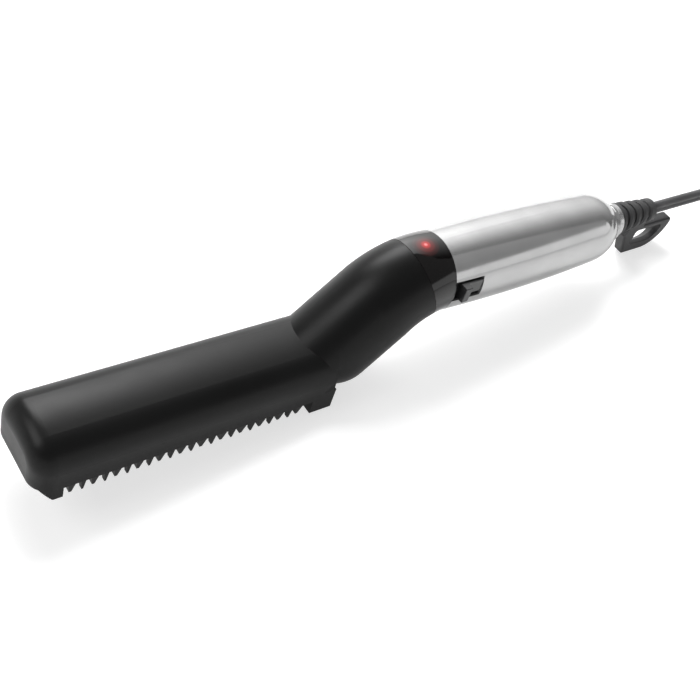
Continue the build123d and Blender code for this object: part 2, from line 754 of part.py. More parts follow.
# Strain relief: a ribbed rubber body with its shaft, and the hanging loop moulded under it
clip_end_x = collar_bush_start_x - swivel_clearance
clip_start_x = clip_end_x - clip_thickness
clip_bed_r = relief_shaft_r - clip_groove_depth
relief_shaft_start_x = clip_start_x - relief_shaft_spare
relief_points = [
    (relief_shaft_start_x, 0),
    (relief_shaft_start_x, relief_shaft_r),
    (clip_start_x, relief_shaft_r),
    (clip_start_x, clip_bed_r),
    (clip_end_x, clip_bed_r),
    (clip_end_x, relief_shaft_r),
    (relief_start_x, relief_shaft_r),
]
for i in range(relief_rib_count):
    share = i / (relief_rib_count - 1)
    crest_r = relief_rib_r + (relief_end_rib_r - relief_rib_r) * share
    core_r = relief_core_r + (relief_end_core_r - relief_core_r) * share
    rib_x = relief_start_x + i * relief_rib_pitch
    groove_x = rib_x + (relief_rib_width if i + 1 < relief_rib_count else relief_end_rib_width)
    relief_points += [
        (rib_x, core_r),
        (rib_x, crest_r - relief_rib_edge),
        (rib_x + relief_rib_edge, crest_r),
        (groove_x - relief_rib_edge, crest_r),
        (groove_x, crest_r - relief_rib_edge),
        (groove_x, core_r),
    ]
relief_points += [(relief_end_x, 0)]
relief = turned(Polyline(*relief_points, close=True))
loop_outline = Polyline(
    (loop_tail_x, loop_bottom_z),
    (loop_front_x, loop_bottom_z),
    (loop_front_x - loop_rake, loop_front_top_z),
    (loop_front_x - loop_rake + loop_rear_lean, axis_z),
    (relief_end_x - relief_rib_edge, axis_z),
    (relief_end_x - relief_rib_edge, loop_top_z),
    (loop_tail_x + loop_tail_r, loop_top_z),
    (loop_tail_x + loop_tail_r, loop_bottom_z + loop_tail_r),
)
tail_mid = loop_tail_r * cos(pi / 4)
tail_z = loop_bottom_z + loop_tail_r
tail_arc = ThreePointArc(
    (loop_tail_x + loop_tail_r, tail_z),
    (loop_tail_x + tail_mid, tail_z - tail_mid),
    (loop_tail_x, loop_bottom_z),
)
loop = slab(loop_outline + tail_arc, loop_thickness / 2)
loop = fillet(loop.edges().filter_by(Axis.Y).group_by(Axis.X)[-1].sort_by(Axis.Z)[-1:], loop_tip_r)
rims = [e for e in loop.edges().filter_by(Plane.XZ) if e.bounding_box().max.Z < loop_top_z - loop_edge_r]
loop = fillet(rims, loop_edge_r)
hole_low_z = loop_bottom_z + loop_bar
hole_top_z = loop_top_z - loop_top_bar
hole_front_x = loop_front_x + loop_front_bar
hole_rear_x = loop_tail_x + loop_tail_r - loop_tail_bar
hole_centre = (hole_rear_x - loop_hole_tail_r, hole_low_z + loop_hole_tail_r)
hole_mid = loop_hole_tail_r * cos(pi / 4)
hole_outline = Polyline(
    (hole_centre[0], hole_low_z),
    (hole_front_x, hole_low_z),
    (hole_front_x, hole_top_z),
    (hole_rear_x, hole_top_z),
    (hole_rear_x, hole_centre[1]),
)
hole_arc = ThreePointArc(
    (hole_rear_x, hole_centre[1]),
    (hole_centre[0] + hole_mid, hole_centre[1] - hole_mid),
    (hole_centre[0], hole_low_z),
)
hole_face = xz_face(hole_outline + hole_arc)
front_corners = hole_face.vertices().group_by(Axis.X)[0]
rear_corner = hole_face.vertices().group_by(Axis.Z)[-1].sort_by(Axis.X)[-1:]
hole_face = fillet(front_corners + rear_corner, loop_hole_corner_r)
hole = extrude(hole_face, amount=loop_thickness, dir=(0, -1, 0))
hole = hole + extrude(hole_face, amount=loop_thickness, dir=(0, 1, -loop_hole_slope))
pin_bore = axis_rod(pin_start_x, pin_end_x, pin_r + thread_gap)
parts["cord_relief"] = relief + (loop - hole) - pin_bore

# Swivel: a clip holds the shaft in the collar, and a pin carries the contacts' circuit
clip = axis_rod(clip_start_x, clip_end_x, clip_r)
clip = clip - axis_rod(clip_start_x, clip_end_x, clip_bed_r + thread_gap)
clip = clip - block(clip_start_x, clip_end_x, -clip_slot / 2, clip_slot / 2, axis_z, axis_z + 2 * clip_r)
parts["swivel_clip"] = clip
parts["swivel_pin"] = axis_rod(pin_start_x, pin_end_x, pin_r)
pin_hole = axis_rod(swivel_block_start_x, swivel_block_end_x, pin_r + pin_bore_gap)
holder = axis_rod(swivel_block_start_x, swivel_block_end_x, chassis_inner_r - gap)
holder_top_z = axis_z + swivel_block_rise
holder = holder - block(
    swivel_block_start_x, swivel_block_end_x, -handle_r, handle_r, holder_top_z, axis_z + handle_r
)
contact_y = pin_r + swivel_clearance
contacts = []
for i, side in enumerate((-1, 1)):
    x0 = contact_first_x + i * contact_spacing
    low_z = axis_z - contact_height / 2
    y0, y1 = sorted((side * contact_y, side * (contact_y + contact_thickness)))
    contacts.append(block(x0, x0 + contact_width, y0, y1, low_z, low_z + contact_height))
parts["swivel_contacts"] = Compound(children=contacts)
parts["swivel_block"] = holder - pin_hole - contacts
mains = []
for side in (-1, 1):
    y = terminal_y + side * main_lead_spacing / 2
    mains.append(rod((rear_terminal_x, y, terminal_z), (swivel_block_start_x, y, terminal_z), lead_wire_r))
parts["mains_leads"] = Compound(children=mains)

# Slide switch: bezel in the notch, knob with a thumb nub, and the switch on the board behind it
bezel_low_z = window_z - bezel_half
bezel_high_z = window_z + bezel_half
bezel_back_y = bezel_floor_y + bezel_floor_thickness
bezel = block(bezel_start_x, bezel_end_x, -2 * handle_r, bezel_back_y, bezel_low_z, bezel_high_z)
pocket = block(
    pocket_start_x, pocket_end_x, -2 * handle_r, bezel_floor_y, window_z - pocket_half, window_z + pocket_half
)
stem_slot = block(
    stem_x - switch_travel - stem_reach_x,
    stem_x + stem_reach_x,
    bezel_floor_y,
    bezel_back_y,
    window_z - stem_height / 2 - switch_gap,
    window_z + stem_height / 2 + switch_gap,
)
bezel = bezel & axis_rod(bezel_start_x, bezel_end_x, handle_r - bezel_inset)
parts["switch_bezel"] = bezel - pocket - stem_slot
knob_low_z = window_z - knob_half
knob_high_z = window_z + knob_half
nub_end_x = knob_start_x + knob_nub_length
knob_base = block(knob_start_x, knob_end_x, knob_base_y, knob_back_y, knob_low_z, knob_high_z)
nub = block(knob_start_x, nub_end_x, knob_nub_y, knob_back_y, knob_low_z, knob_high_z)
pad = block(nub_end_x, knob_end_x, knob_pad_y, knob_back_y, knob_high_z - knob_pad_height, knob_high_z)
nub = fillet(nub.edges().group_by(Axis.Y)[0], knob_edge_r)
stem = block(
    stem_x - stem_length / 2,
    stem_x + stem_length / 2,
    knob_back_y,
    stem_end_y,
    window_z - stem_height / 2,
    window_z + stem_height / 2,
)
parts["switch_knob"] = knob_base + nub + pad + stem
parts["switch_lever"] = block(
    stem_x - lever_length / 2,
    stem_x + lever_length / 2,
    stem_end_y,
    lever_end_y,
    window_z - lever_height / 2,
    window_z + lever_height / 2,
)
switch_half = switch_body_length / 2
switch_body = block(
    switch_body_x - switch_half,
    switch_body_x + switch_half,
    switch_body_y,
    switch_body_y + switch_body_width,
    board_top_z,
    board_top_z + switch_body_height,
)
lever_slot = block(
    stem_x - switch_travel - lever_reach_x,
    stem_x + lever_reach_x,
    switch_body_y,
    lever_end_y + switch_gap,
    window_z - lever_height / 2 - switch_gap,
    window_z + lever_height / 2 + switch_gap,
)
parts["slide_switch"] = switch_body - lever_slot

# Resting place: the brush lies on the edge of its heel block and on the tail of its loop
heel_contact = Vector(heel_end_x - block_edge_r, 0, block_edge_r - heel_depth)
tail_contact = Vector(loop_tail_x, 0, tail_z)
span = tail_contact - heel_contact
tilt = atan2(span.Z, span.X) - asin((loop_tail_r - block_edge_r) / span.length)
lying = Rot(0, degrees(tilt), 0)
corners = []
for shape in parts.values():
    box = (lying * shape).bounding_box()
    corners += [box.min, box.max]
middle_x = (min(c.X for c in corners) + max(c.X for c in corners)) / 2
middle_y = (min(c.Y for c in corners) + max(c.Y for c in corners)) / 2
place = Pos(-middle_x, -middle_y, -min(c.Z for c in corners)) * lying
for name, shape in parts.items():
    parts[name] = place * shape

# Mains cord, in the resting frame: it leaves the relief along its axis and comes down to the table
exit_point = (place * Pos(relief_end_x, 0, axis_z)).position
exit_way = Vector(cos(tilt), 0, -sin(tilt))


def cord_tube(points):
    """Round tube along straight runs, with the largest arc that each corner leaves room for."""
    points = [Vector(*p) for p in points]
    runs = [b - a for a, b in zip(points, points[1:])]
    radii = []
    for before, after in zip(runs, runs[1:]):
        half_turn = radians(before.get_angle(after)) / 2
        radii.append(cord_corner_share * min(before.length, after.length) / tan(half_turn))
    route = FilletPolyline(*points, radius=radii)
    tube = sweep(Plane(origin=points[0], z_dir=runs[0]) * Circle(cord_r), path=route)
    print("arc radii", [round(r) for r in radii], "length", round(route.length, 1))
    print("tube volume over section times length", round(tube.volume / (pi * cord_r**2 * route.length), 4))
    return tube


# Hank of the length that is put away: loops in two columns that spiral in and out in flat layers,
# drawn in at the waist by a tie, and climb a layer in the second half of a run
hank_level = cord_r + tie_gap + tie_thickness
hank_centre = Vector(*hank_place, hank_level)
hank_start = hank_centre + Vector(-hank_half_run - cord_d, hank_outer, 0)
cord_points = [
    exit_point,
    exit_point + exit_way * cord_run,
    (189.5, 5.0, 10.8),
    (208.0, hank_start.Y, hank_level),
    hank_start,
]
parts["cord"] = cord_tube(cord_points)

outer_run = (hank_outer, hank_outer_waist)
inner_run = (hank_inner, hank_inner_waist)
hank_runs = [(outer_run, 0, 0)]
for layer in range(hank_layers):
    first, last = (inner_run, outer_run) if layer % 2 else (outer_run, inner_run)
    hank_runs += [(first, layer, layer), (last, layer, layer), (last, layer, layer + 1)]


def s_curve(start, end, way):
    """Two arcs that leave start and reach end in the same direction."""
    first = TangentArc(start, (start + end) / 2, tangent=way)
    return [first, TangentArc((start + end) / 2, end, tangent=first % 1)]


def quarter_arc(start, centre, end):
    """Quarter circle from start to end about their centre."""
    bulge = ((start - centre) + (end - centre)).normalized() * (start - centre).length
    return ThreePointArc(start, centre + bulge, end)


way = Vector(1, 0, 0)
side = 1
hank_edges = [Line(hank_start, hank_start + way * cord_d)]
for i, ((reach, waist), low, high) in enumerate(hank_runs):
    next_reach = hank_runs[i + 1][0][0] if i + 1 < len(hank_runs) else hank_inner
    start = hank_centre - way * hank_half_run + Vector(0, side * reach, low * hank_layer)
    middle = hank_centre + Vector(0, side * waist, low * hank_layer)
    end = hank_centre + way * hank_half_run + Vector(0, side * reach, high * hank_layer)
    back = hank_centre + way * hank_half_run + Vector(0, -side * next_reach, high * hank_layer)
    fold_centre = (end + back) / 2
    crest = fold_centre + way * (end - back).length / 2
    hank_edges += s_curve(start, middle, way) + s_curve(middle, end, way)
    hank_edges += [quarter_arc(end, fold_centre, crest), quarter_arc(crest, fold_centre, back)]
    way = -way
    side = -side
hank_end = back + way * cord_d
hank_edges.append(Line(back, hank_end))
hank_route = Wire(hank_edges)
parts["cord_hank"] = sweep(Plane(origin=hank_start, z_dir=(1, 0, 0)) * Circle(cord_r), path=hank_route)
samples = [edge.position_at(k / hank_samples) for edge in hank_edges for k in range(hank_samples)]
travelled = [0]
for a, b in zip(samples, samples[1:]):
    travelled.append(travelled[-1] + (b - a).length)
least = hank_route.length
for i, a in enumerate(samples):
    for j in range(i):
        if travelled[i] - travelled[j] > hank_near_length:
            b = samples[j]
            least = min(least, hypot(a.X - b.X, a.Y - b.Y, a.Z - b.Z))
print("hank length", round(hank_route.length, 1), "least gap in the hank", round(least - cord_d, 3))

# Tie: a strap round the waist of the hank
tie_half = hank_outer_waist + cord_r + tie_gap
tie_top = hank_level + (hank_layers - 1) * hank_layer + cord_r + tie_gap
tie_start = hank_centre.X - tie_width / 2
strap = block(
    tie_start,
    tie_start + tie_width,
    hank_centre.Y - tie_half - tie_thickness,
    hank_centre.Y + tie_half + tie_thickness,
    0,
    tie_top + tie_thickness,
)
strap = fillet(strap.edges().filter_by(Axis.X), tie_corner_r)
bundle = block(
    tie_start,
    tie_start + tie_width,
    hank_centre.Y - tie_half,
    hank_centre.Y + tie_half,
    tie_thickness,
    tie_top,
)
bundle = fillet(bundle.edges().filter_by(Axis.X), tie_corner_r - tie_thickness)
parts["cord_tie"] = strap - bundle

# Lead from the hank to the plug, and the plug itself: a flat two-pin body that lies on the hank
plug_axis_z = tie_top - tie_gap + plug_rest_gap + plug_thickness / 2
plug_start = Vector(hank_centre.X + plug_place[0], hank_centre.Y + plug_place[1], plug_axis_z)
lead_way = plug_start - hank_end
lead_points = []
for share, side_share in plug_lead_shares:
    sideways = Vector(0, lead_way.Y, lead_way.Z) * side_share
    lead_points.append(hank_end + Vector(lead_way.X, 0, 0) * share + sideways)
parts["plug_lead"] = cord_tube(lead_points)
plug_end_x = plug_start.X + plug_length
shoulder_x = plug_start.X + plug_nose_length
half_outline = [
    (plug_start.X, plug_nose_width / 2),
    (shoulder_x, plug_nose_width / 2 + plug_nose_flare),
    (shoulder_x + plug_shoulder_length, plug_width / 2),
    (plug_end_x, plug_width / 2),
]
outline = half_outline + [(x, -y) for x, y in reversed(half_outline)]
flat = Pos(0, plug_start.Y, plug_axis_z) * make_face(Polyline(*outline, close=True))
plug = extrude(flat, amount=plug_thickness / 2, both=True)
plug = fillet(plug.edges().filter_by(Axis.Z), plug_corner_r)
plug = fillet(plug.edges().group_by(Axis.Z)[0] + plug.edges().group_by(Axis.Z)[-1], plug_edge_r)
pins = []
for side in (-1, 1):
    seat = Vector(plug_end_x, plug_start.Y + side * plug_pin_spacing / 2, plug_axis_z)
    root_start = seat - Vector(plug_pin_root, 0, 0)
    wall_start = seat + Vector(plug_pin_neck, 0, 0)
    pin = rod(wall_start, seat + Vector(plug_pin_length, 0, 0), plug_pin_r)
    pin = fillet(pin.edges().group_by(Axis.X)[-1], plug_pin_tip_r)
    pins.append(pin + rod(root_start, wall_start, plug_pin_root_r))
    plug = plug - rod(root_start, seat, plug_pin_root_r + thread_gap)
parts["plug_body"] = plug
parts["plug_pins"] = Compound(children=pins)

os.makedirs("parts", exist_ok=True)
for name, shape in parts.items():
    export_step(shape, f"parts/{name}.step")
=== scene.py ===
from math import acos, cos, pi, radians, sin

import bpy
from mathutils import Euler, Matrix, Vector


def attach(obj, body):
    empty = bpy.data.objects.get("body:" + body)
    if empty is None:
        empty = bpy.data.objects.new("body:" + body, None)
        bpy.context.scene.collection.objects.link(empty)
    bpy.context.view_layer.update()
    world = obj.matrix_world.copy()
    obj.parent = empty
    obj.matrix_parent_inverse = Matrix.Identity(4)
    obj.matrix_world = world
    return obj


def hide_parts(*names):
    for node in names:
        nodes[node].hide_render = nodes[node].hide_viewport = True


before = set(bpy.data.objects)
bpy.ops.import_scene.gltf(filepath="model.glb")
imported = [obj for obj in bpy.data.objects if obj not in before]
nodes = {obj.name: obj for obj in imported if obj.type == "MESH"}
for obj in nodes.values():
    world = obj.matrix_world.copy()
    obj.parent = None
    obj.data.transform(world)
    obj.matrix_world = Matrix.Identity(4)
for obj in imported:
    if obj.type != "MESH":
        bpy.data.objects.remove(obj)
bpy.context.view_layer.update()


# Studio. The brush lies on a plain white table top that runs out to low white walls under a darker
# ceiling. As the camera sees it, a tall glowing card stands behind it on the right, two soft boxes
# hang behind it, and a third hangs on its left.
scene = bpy.context.scene
scene.view_settings.view_transform = "Standard"

table_half = 6.0
table_corners = [
    (-table_half, -table_half, 0),
    (table_half, -table_half, 0),
    (table_half, table_half, 0),
    (-table_half, table_half, 0),
]
table_mesh = bpy.data.meshes.new("table_top")
table_mesh.from_pydata(table_corners, [], [(0, 1, 2, 3)])
table = bpy.data.objects.new("table_top", table_mesh)
scene.collection.objects.link(table)


def blank_finish(name):
    """New material, its node tree and its shader, ready to take a finish."""
    finish = bpy.data.materials.new(name)
    finish.use_nodes = True
    tree = finish.node_tree
    return finish, tree, tree.nodes["Principled BSDF"]


def combined(tree, operation, *values):
    """Result of a sum over two values, each a number or another result."""
    step = tree.nodes.new("ShaderNodeMath")
    step.operation = operation
    for socket, value in zip(step.inputs, values):
        if isinstance(value, bpy.types.NodeSocket):
            tree.links.new(value, socket)
        else:
            socket.default_value = value
    return step.outputs[0]


# The table's grey card is lifted to white where the camera sees it, straight or through a clear
# piece, and by a share of that where a bright surface mirrors it
table_grey = 0.5
table_lift = 0.66
mirrored_share = 0.5
table_card, card_tree, card_shader = blank_finish("table_card")
card_shader.inputs["Base Color"].default_value = (table_grey, table_grey, table_grey, 1)
card_shader.inputs["Roughness"].default_value = 0.9
card_shader.inputs["Specular IOR Level"].default_value = 0.1
card_shader.inputs["Emission Color"].default_value = (1, 1, 1, 1)
card_ray = card_tree.nodes.new("ShaderNodeLightPath")
card_seen = combined(
    card_tree, "MAXIMUM", card_ray.outputs["Is Camera Ray"], card_ray.outputs["Is Transmission Ray"]
)
card_mirrored = combined(card_tree, "MULTIPLY", card_ray.outputs["Is Glossy Ray"], mirrored_share)
card_shown = combined(card_tree, "MAXIMUM", card_seen, card_mirrored)
card_lift = combined(card_tree, "MULTIPLY", card_shown, table_lift)
card_tree.links.new(card_lift, card_shader.inputs["Emission Strength"])
table_mesh.materials.append(table_card)


def graded(tree, value, span, levels):
    """Number that runs from the first level to the last while a value runs through a span."""
    grade = tree.nodes.new("ShaderNodeMapRange")
    grade.inputs["From Min"].default_value = span[0]
    grade.inputs["From Max"].default_value = span[1]
    grade.inputs["To Min"].default_value = levels[0]
    grade.inputs["To Max"].default_value = levels[1]
    tree.links.new(value, grade.inputs["Value"])
    return grade.outputs[0]


# White walls that end low and a darker ceiling above them. Both heights are the rise of a line of
# sight from the brush, as a share of its length.
wall_top = 0.25
ceiling_start = 0.31
wall_strength = 1.0
ceiling_strength = 0.19
world = bpy.data.worlds.new("studio_walls")
scene.world = world
world.use_nodes = True
wall_tree = world.node_tree
wall = wall_tree.nodes["Background"]
wall.inputs["Color"].default_value = (1, 1, 1, 1)
wall_place = wall_tree.nodes.new("ShaderNodeTexCoord")
wall_split = wall_tree.nodes.new("ShaderNodeSeparateXYZ")
wall_tree.links.new(wall_place.outputs["Generated"], wall_split.inputs[0])
wall_level = graded(
    wall_tree, wall_split.outputs["Z"], (wall_top, ceiling_start), (wall_strength, ceiling_strength)
)
wall_tree.links.new(wall_level, wall.inputs["Strength"])


def soft_box(name, place, target, size, power):
    """Rectangular soft box at a place, turned towards a target."""
    lamp = bpy.data.lights.new(name, "AREA")
    lamp.shape = "RECTANGLE"
    lamp.size = size[0]
    lamp.size_y = size[1]
    lamp.energy = power
    holder = bpy.data.objects.new(name, lamp)
    holder.location = place
    holder.rotation_euler = (Vector(target) - Vector(place)).to_track_quat("-Z", "Y").to_euler()
    scene.collection.objects.link(holder)
    return holder


fill = soft_box(
    "soft_box_above", place=(0.35, 0.6, 1.1), target=(0.0, -0.1, 0.0), size=(0.45, 0.45), power=15
)
fill.visible_glossy = False
soft_box("head_light", place=(0.10, 0.74, 0.72), target=(-0.1, 0.0, 0.03), size=(0.5, 0.45), power=5.2)
soft_box("neck_light", place=(-0.73, 0.28, 0.87), target=(-0.03, 0.0, 0.04), size=(0.6, 0.6), power=3.6)


def fading_card(name, place, facing, width, height, level):
    """Upright glowing card, brightest at its left edge as the brush sees it, that fades to the right."""
    fade_power = 2.2
    foot_level = level / 3
    foot_height = height / 4
    mesh = bpy.data.meshes.new(name)
    corners = [(-width / 2, 0, 0), (width / 2, 0, 0), (width / 2, 0, height), (-width / 2, 0, height)]
    mesh.from_pydata(corners, [], [(0, 1, 2, 3)])
    card = bpy.data.objects.new(name, mesh)
    card.location = place
    card.rotation_euler = (0, 0, facing)
    card.visible_camera = False
    scene.collection.objects.link(card)
    glow, tree, shader = blank_finish(name)
    shader.inputs["Base Color"].default_value = (0, 0, 0, 1)
    shader.inputs["Specular IOR Level"].default_value = 0.0
    shader.inputs["Emission Color"].default_value = (1, 1, 1, 1)
    where = tree.nodes.new("ShaderNodeTexCoord")
    split = tree.nodes.new("ShaderNodeSeparateXYZ")
    tree.links.new(where.outputs["Object"], split.inputs[0])
    leftness = graded(tree, split.outputs["X"], (width / 2, -width / 2), (0, 1))
    fade = combined(tree, "POWER", leftness, fade_power)
    rise = graded(tree, split.outputs["Z"], (0, foot_height), (foot_level, level))
    strength = combined(tree, "MULTIPLY", fade, rise)
    tree.links.new(strength, shader.inputs["Emission Strength"])
    mesh.materials.append(glow)


fading_card("fading_card", (1.15, 0.41, 0.02), facing=radians(-60), width=2.4, height=2.4, level=3.5)


# Camera. It looks from above the tip of the head along the brush and is turned a little on its own
# axis. Its place, its turn and the lens were fitted to the outline in the photograph.
camera_data = bpy.data.cameras.new("camera")
camera_data.lens = 53.55
camera_data.sensor_width = 36.0
camera_data.clip_start = 0.01
camera = bpy.data.objects.new("camera", camera_data)
camera.location = (-0.20546, -0.1826, 0.29361)
camera.rotation_euler = Euler((radians(40.984), radians(-10.134), radians(-33.689)), "XYZ")
scene.collection.objects.link(camera)
scene.camera = camera


# Head shell and neck cover. Two mouldings in heat-resistant nylon with a satin spark-eroded skin,
# joined by screws under the neck. The domed paddle and the upper neck are one piece.
def clouded(tree, place, size, detail):
    """Pattern of soft patches of a size in metres."""
    cloud = tree.nodes.new("ShaderNodeTexNoise")
    cloud.inputs["Scale"].default_value = 1 / size
    cloud.inputs["Detail"].default_value = detail
    tree.links.new(place, cloud.inputs["Vector"])
    return cloud.outputs["Fac"]


def raised(tree, pattern, depth, height):
    """Surface that follows a pattern, up to a height in metres."""
    relief = tree.nodes.new("ShaderNodeBump")
    relief.inputs["Strength"].default_value = depth
    relief.inputs["Distance"].default_value = height
    tree.links.new(pattern, relief.inputs["Height"])
    return relief.outputs["Normal"]


def grain(tree, size, depth):
    """Fine moulded skin, with grains of a size in metres."""
    grain_height = size / 6
    place = tree.nodes.new("ShaderNodeTexCoord").outputs["Object"]
    return raised(tree, clouded(tree, place, size, detail=3.0), depth, grain_height)


def varied(tree, size, low, high):
    """Number that drifts between two levels over patches of a size in metres."""
    usual_span = (0.3, 0.7)
    place = tree.nodes.new("ShaderNodeTexCoord").outputs["Object"]
    return graded(tree, clouded(tree, place, size, detail=4.0), usual_span, (low, high))


def tinted(tree, colour, spread, size):
    """Colour that drifts a little lighter and darker over patches of a size in metres."""
    ramp = tree.nodes.new("ShaderNodeMix")
    ramp.data_type = "RGBA"
    ramp.inputs["A"].default_value = (*[c * (1 - spread) for c in colour], 1)
    ramp.inputs["B"].default_value = (*[min(1, c * (1 + spread)) for c in colour], 1)
    tree.links.new(varied(tree, size, low=0, high=1), ramp.inputs["Factor"])
    return ramp.outputs["Result"]


def moulded(name, colour, rough, grain_size=0.0003, depth=0.25, specular=0.5):
    """Moulded plastic or rubber with a fine skin and slight handling marks."""
    mark_size = 0.012
    mark_depth = 0.03
    plastic, tree, shader = blank_finish(name)
    shader.inputs["Specular IOR Level"].default_value = specular
    tree.links.new(tinted(tree, colour, spread=0.12, size=0.02), shader.inputs["Base Color"])
    marks = varied(tree, mark_size, rough - mark_depth, rough + mark_depth)
    tree.links.new(marks, shader.inputs["Roughness"])
    tree.links.new(grain(tree, grain_size, depth), shader.inputs["Normal"])
    return plastic


def dress(material, *names):
    """CAD nodes take a material."""
    for name in names:
        for place in nodes[name].material_slots:
            place.material = material


head_nylon = moulded("head_nylon", (0.005, 0.005, 0.005), rough=0.36, specular=0.24)
dress(head_nylon, "head_shell", "neck_cover")


# Comb. The frame of glass-filled nylon is screwed under the shell by its heel block, and its teeth
# stand beside the fins of the cast heater plate.
comb_nylon = moulded("comb_nylon", (0.005, 0.005, 0.005), rough=0.4, specular=0.24)
dress(comb_nylon, "comb_frame")


def worked_metal(name, colour, rough, line_size, depth, stretch=(1, 1, 1), shine=1.0):
    """Metal with the fine lines that its tools left, drawn out along an axis whose factor is small."""
    line_height = line_size / 5
    polish_size = 0.01
    polish_depth = 0.04
    metal, tree, shader = blank_finish(name)
    shader.inputs["Metallic"].default_value = shine
    place = tree.nodes.new("ShaderNodeTexCoord")
    pull = tree.nodes.new("ShaderNodeMapping")
    pull.inputs["Scale"].default_value = stretch
    tree.links.new(place.outputs["Object"], pull.inputs["Vector"])
    lines = clouded(tree, pull.outputs["Vector"], line_size, detail=4.0)
    tree.links.new(raised(tree, lines, depth, line_height), shader.inputs["Normal"])
    tree.links.new(tinted(tree, colour, spread=0.06, size=0.015), shader.inputs["Base Color"])
    polish = varied(tree, polish_size, rough - polish_depth, rough + polish_depth)
    tree.links.new(polish, shader.inputs["Roughness"])
    return metal


cast_aluminium = worked_metal(
    "cast_aluminium", (0.22, 0.22, 0.23), rough=0.45, line_size=0.0006, depth=0.3
)
dress(cast_aluminium, "heater_plate")


# Heater stack. Two ceramic stones in an amber film sleeve, held on the plate by a clamp of sheet
# steel, with a thermal fuse on it and a shield of pressed mica over everything. Its leads and those
# of the mains are insulated in red silicone.
fired_ceramic = moulded("fired_ceramic", (0.32, 0.30, 0.28), rough=0.7, grain_size=0.0005, depth=0.4)
dress(fired_ceramic, "ptc_heaters")
amber_film = moulded("amber_film", (0.55, 0.25, 0.04), rough=0.2, grain_size=0.002, depth=0.1)
dress(amber_film, "insulating_film")
clamp_steel = worked_metal(
    "clamp_steel", (0.5, 0.5, 0.52), rough=0.35, line_size=0.0003, depth=0.2, stretch=(0.1, 1, 1)
)
dress(clamp_steel, "heater_clamp", "thermal_fuse")
pressed_mica = moulded("pressed_mica", (0.55, 0.5, 0.4), rough=0.6, grain_size=0.001, depth=0.3)
dress(pressed_mica, "heat_shield")
lead_silicone = moulded("lead_silicone", (0.5, 0.05, 0.03), rough=0.55)
dress(lead_silicone, "heater_leads", "mains_leads")


# Screws. Blackened steel pan heads, turned home from below: two rise through the heel of the comb
# and two hold the neck cover.
black_steel = worked_metal("black_steel", (0.10, 0.10, 0.105), rough=0.35, line_size=0.0002, depth=0.15)
dress(black_steel, "comb_screws", "neck_screws")


# Light ring. A polished band of smoked acrylic between neck and handle, with a red light under it. Its
# glow is
# painted on the ring as emission: a small bright point in a soft halo around the light's place.
painted_glow_centre = (0.00116, 0.0006, 0.0511)
painted_glow_reach = 0.0055
painted_point_colour = (1.0, 0.5, 0.5, 1)

# The painted halo's levels: share of the glow's reach, red, and green and blue alike
painted_halo_levels = ((0.07, 1.0, 0.2), (0.18, 0.55, 0.02), (0.4, 0.14, 0.006), (0.75, 0.03, 0.002))
smoked_acrylic_painted_glow, smoked_tree, smoked_shader = blank_finish("smoked_acrylic_painted_glow")
smoked_shader.inputs["Base Color"].default_value = (0.004, 0.0035, 0.0035, 1)
smoked_shader.inputs["Specular IOR Level"].default_value = 0.1
smoked_shader.inputs["Coat Weight"].default_value = 0.9
smoked_shader.inputs["Coat Roughness"].default_value = 0.04
# Painted glow: the ring's emission colour falls off with distance from the light's place, so the ring
# itself glows
smoked_shader.inputs["Emission Strength"].default_value = 1.0
painted_glow_place = smoked_tree.nodes.new("ShaderNodeTexCoord")
painted_glow_distance = smoked_tree.nodes.new("ShaderNodeVectorMath")
painted_glow_distance.operation = "DISTANCE"
painted_glow_distance.inputs[1].default_value = painted_glow_centre
smoked_tree.links.new(painted_glow_place.outputs["Object"], painted_glow_distance.inputs[0])
painted_glow_share = combined(smoked_tree, "DIVIDE", painted_glow_distance.outputs["Value"], painted_glow_reach)
painted_glow_ramp = smoked_tree.nodes.new("ShaderNodeValToRGB")
painted_glow_ramp.color_ramp.interpolation = "EASE"
painted_glow_ramp.color_ramp.elements[0].color = painted_point_colour
painted_glow_ramp.color_ramp.elements[1].color = (0, 0, 0, 1)
for share, red, rest in painted_halo_levels:
    stop = painted_glow_ramp.color_ramp.elements.new(share)
    stop.color = (red, rest, rest, 1)
smoked_tree.links.new(painted_glow_share, painted_glow_ramp.inputs["Fac"])
smoked_tree.links.new(painted_glow_ramp.outputs["Color"], smoked_shader.inputs["Emission Color"])
smoked_rough = varied(smoked_tree, size=0.008, low=0.08, high=0.14)
smoked_tree.links.new(smoked_rough, smoked_shader.inputs["Roughness"])
dress(smoked_acrylic_painted_glow, "light_ring")
led_lens = moulded("led_lens", (0.6, 0.02, 0.02), rough=0.15, grain_size=0.001, depth=0.05)
dress(led_lens, "status_led")


# Handle barrel and tail collar. Drawn brass tube and a turned bush, both plated bright and softly
# polished along their length.
plated_brass = worked_metal(
    "plated_brass",
    (0.6, 0.6, 0.6),
    rough=0.14,
    line_size=0.0004,
    depth=0.04,
    stretch=(0.02, 1, 1),
    shine=0.75,
)
dress(plated_brass, "handle_barrel", "tail_collar")


# Chassis and electronics. A moulded nylon trough joins neck, ring and barrel and holds the block of
# the swivel. In it lies a green laminate board with its soldered parts and the slide switch.
chassis_nylon = moulded("chassis_nylon", (0.09, 0.09, 0.1), rough=0.5)
dress(chassis_nylon, "inner_chassis", "swivel_block")
board_laminate = moulded("board_laminate", (0.02, 0.14, 0.06), rough=0.35, grain_size=0.0008, depth=0.1)
dress(board_laminate, "circuit_board")
part_casing = moulded("part_casing", (0.04, 0.04, 0.042), rough=0.4)
dress(part_casing, "board_parts", "slide_switch")


# Slide switch. A black knob with a thumb nub runs in a moulded bezel behind the notch of the
# barrel, and its stem pushes the lever of the switch on the board.
switch_nylon = moulded(
    "switch_nylon", (0.022, 0.022, 0.023), rough=0.24, grain_size=0.0002, depth=0.1, specular=0.9
)
dress(switch_nylon, "switch_knob", "switch_bezel", "switch_lever")


